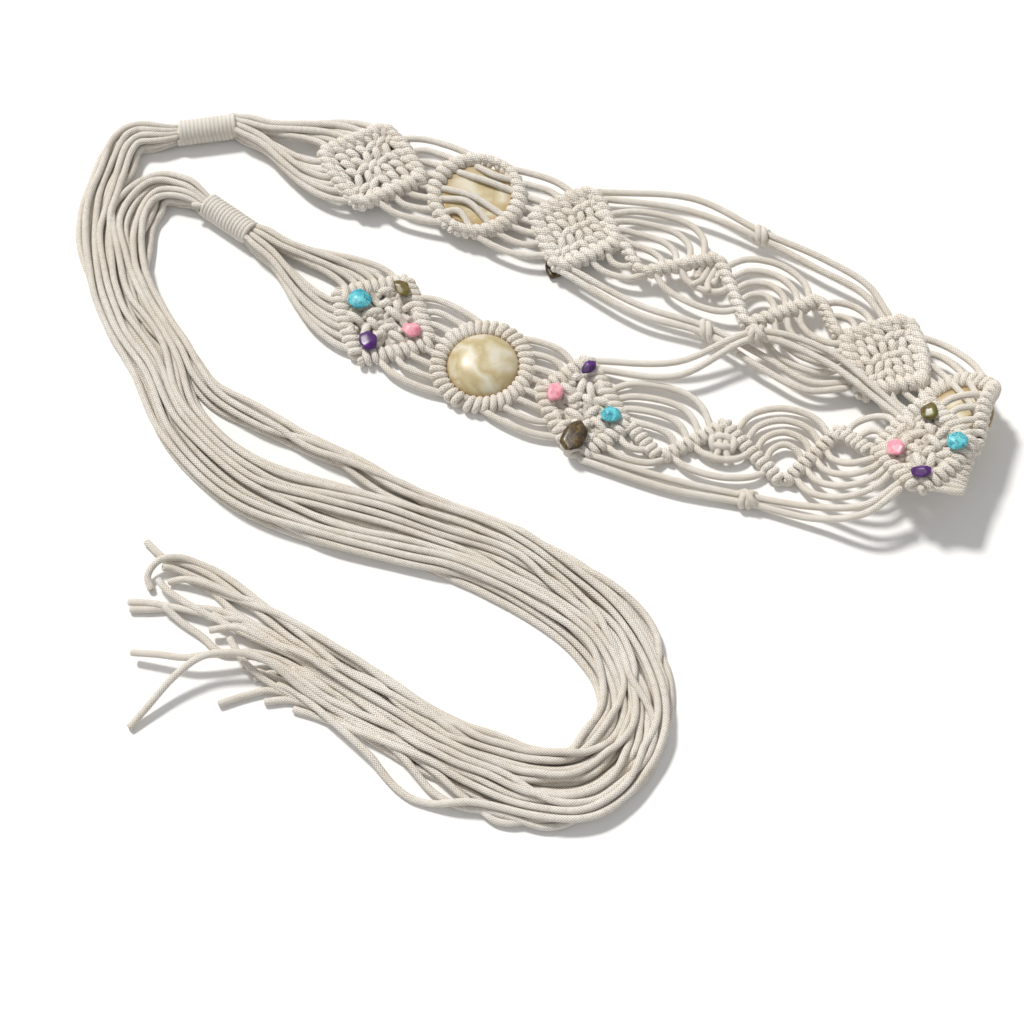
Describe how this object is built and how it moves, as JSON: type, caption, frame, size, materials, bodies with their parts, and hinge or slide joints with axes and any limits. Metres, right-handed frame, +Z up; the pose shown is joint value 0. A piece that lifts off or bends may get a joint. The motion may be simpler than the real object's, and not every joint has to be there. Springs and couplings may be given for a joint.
{
  "type": "woven tie belt",
  "caption": "Knotted cotton cord tie belt set with stone chips and domed oval stones, folded in half, with long bare tie cords at both ends.",
  "frame": {"origin": "on the resting surface, under the middle of the belt without its tie cords", "axes": "+X along the folded band from its wraps to its fold, +Y towards the back half, +Z up out of the surface"},
  "size_m": [0.4797, 0.4091, 0.0391],
  "materials": {
    "cord": "matt off-white braided cotton",
    "tie_cord": "matt off-white braided cotton",
    "oval_stone": "polished cream and amber resin stone",
    "turquoise": "polished turquoise chip",
    "purple": "polished deep purple chip",
    "pink": "polished pink chip",
    "brown": "polished brown and olive chip"
  },
  "bodies": {
    "root": {"diamond_1_front": "cord", "diamond_3_front": "cord", "diamond_4_front": "cord", "ring_front": "cord", "wrap_front": "cord", "fan_front": "cord", "lattice_front": "cord", "loose_upper_front": "cord", "loose_lower_front": "cord", "oval_front": "oval_stone", "chip_front_first_left": "turquoise", "chip_front_first_lower": "purple", "chip_front_first_right": "pink", "chip_front_first_upper": "brown", "chip_front_third_left": "pink", "chip_front_third_lower": "brown", "chip_front_third_right": "turquoise", "chip_front_third_upper": "purple", "chip_front_fourth_left": "pink", "chip_front_fourth_lower": "purple", "chip_front_fourth_right": "turquoise", "chip_front_fourth_upper": "brown", "diamond_1_back": "cord", "diamond_3_back": "cord", "diamond_4_back": "cord", "ring_back": "cord", "wrap_back": "cord", "fan_back": "cord", "lattice_back": "cord", "loose_upper_back": "cord", "loose_lower_back": "cord", "oval_back": "oval_stone", "chip_back_first_left": "turquoise", "chip_back_first_lower": "purple", "chip_back_first_right": "pink", "chip_back_first_upper": "brown", "chip_back_third_left": "pink", "chip_back_third_lower": "brown", "chip_back_third_right": "turquoise", "chip_back_third_upper": "purple", "chip_back_fourth_left": "pink", "chip_back_fourth_lower": "purple", "chip_back_fourth_right": "turquoise", "chip_back_fourth_upper": "brown", "ring_fold": "cord", "oval_fold": "oval_stone", "tie_back_outer": "tie_cord", "tie_back_inner": "tie_cord", "tie_front_outer": "tie_cord", "tie_front_inner": "tie_cord"}
  },
  "joints": []
}
